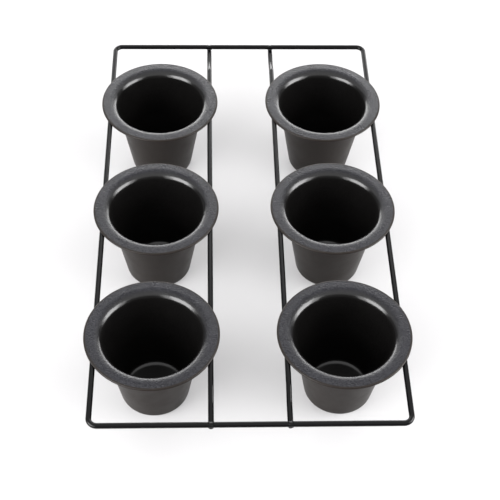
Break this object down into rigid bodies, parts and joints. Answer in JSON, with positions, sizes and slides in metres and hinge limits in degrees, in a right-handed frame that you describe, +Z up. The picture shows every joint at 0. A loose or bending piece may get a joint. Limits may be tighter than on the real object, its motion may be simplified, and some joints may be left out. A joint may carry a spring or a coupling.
{
  "type": "popover pan",
  "caption": "Popover pan: deep tapered cups with wide flat rims, each hung by its rim and welded in an open rectangular frame of bent wire, all in black non-stick finish.",
  "frame": {"origin": "on the surface that the pan stands on, under the middle of the pan", "axes": "+X across the pan to the right, +Y along the pan away from the picture's camera, +Z up"},
  "size_m": [0.2354, 0.4, 0.0699],
  "materials": {
    "nonstick_cup": "dark grey non-stick coating on drawn steel, fine orange peel, satin sheen",
    "coated_wire": "black coating on steel rod, smooth, semi-gloss",
    "coated_weld": "black coating over resistance welds"
  },
  "bodies": {
    "root": {"perimeter_wire": "coated_wire", "perimeter_butt_weld": "coated_weld", "inner_wire_left": "coated_wire", "inner_wire_right": "coated_wire", "cross_weld_front_left": "coated_weld", "cross_weld_front_right": "coated_weld", "cross_weld_back_left": "coated_weld", "cross_weld_back_right": "coated_weld", "cup_front_left": "nonstick_cup", "rim_welds_front_left": "coated_weld", "cup_front_right": "nonstick_cup", "rim_welds_front_right": "coated_weld", "cup_middle_left": "nonstick_cup", "rim_welds_middle_left": "coated_weld", "cup_middle_right": "nonstick_cup", "rim_welds_middle_right": "coated_weld", "cup_back_left": "nonstick_cup", "rim_welds_back_left": "coated_weld", "cup_back_right": "nonstick_cup", "rim_welds_back_right": "coated_weld"}
  },
  "joints": []
}
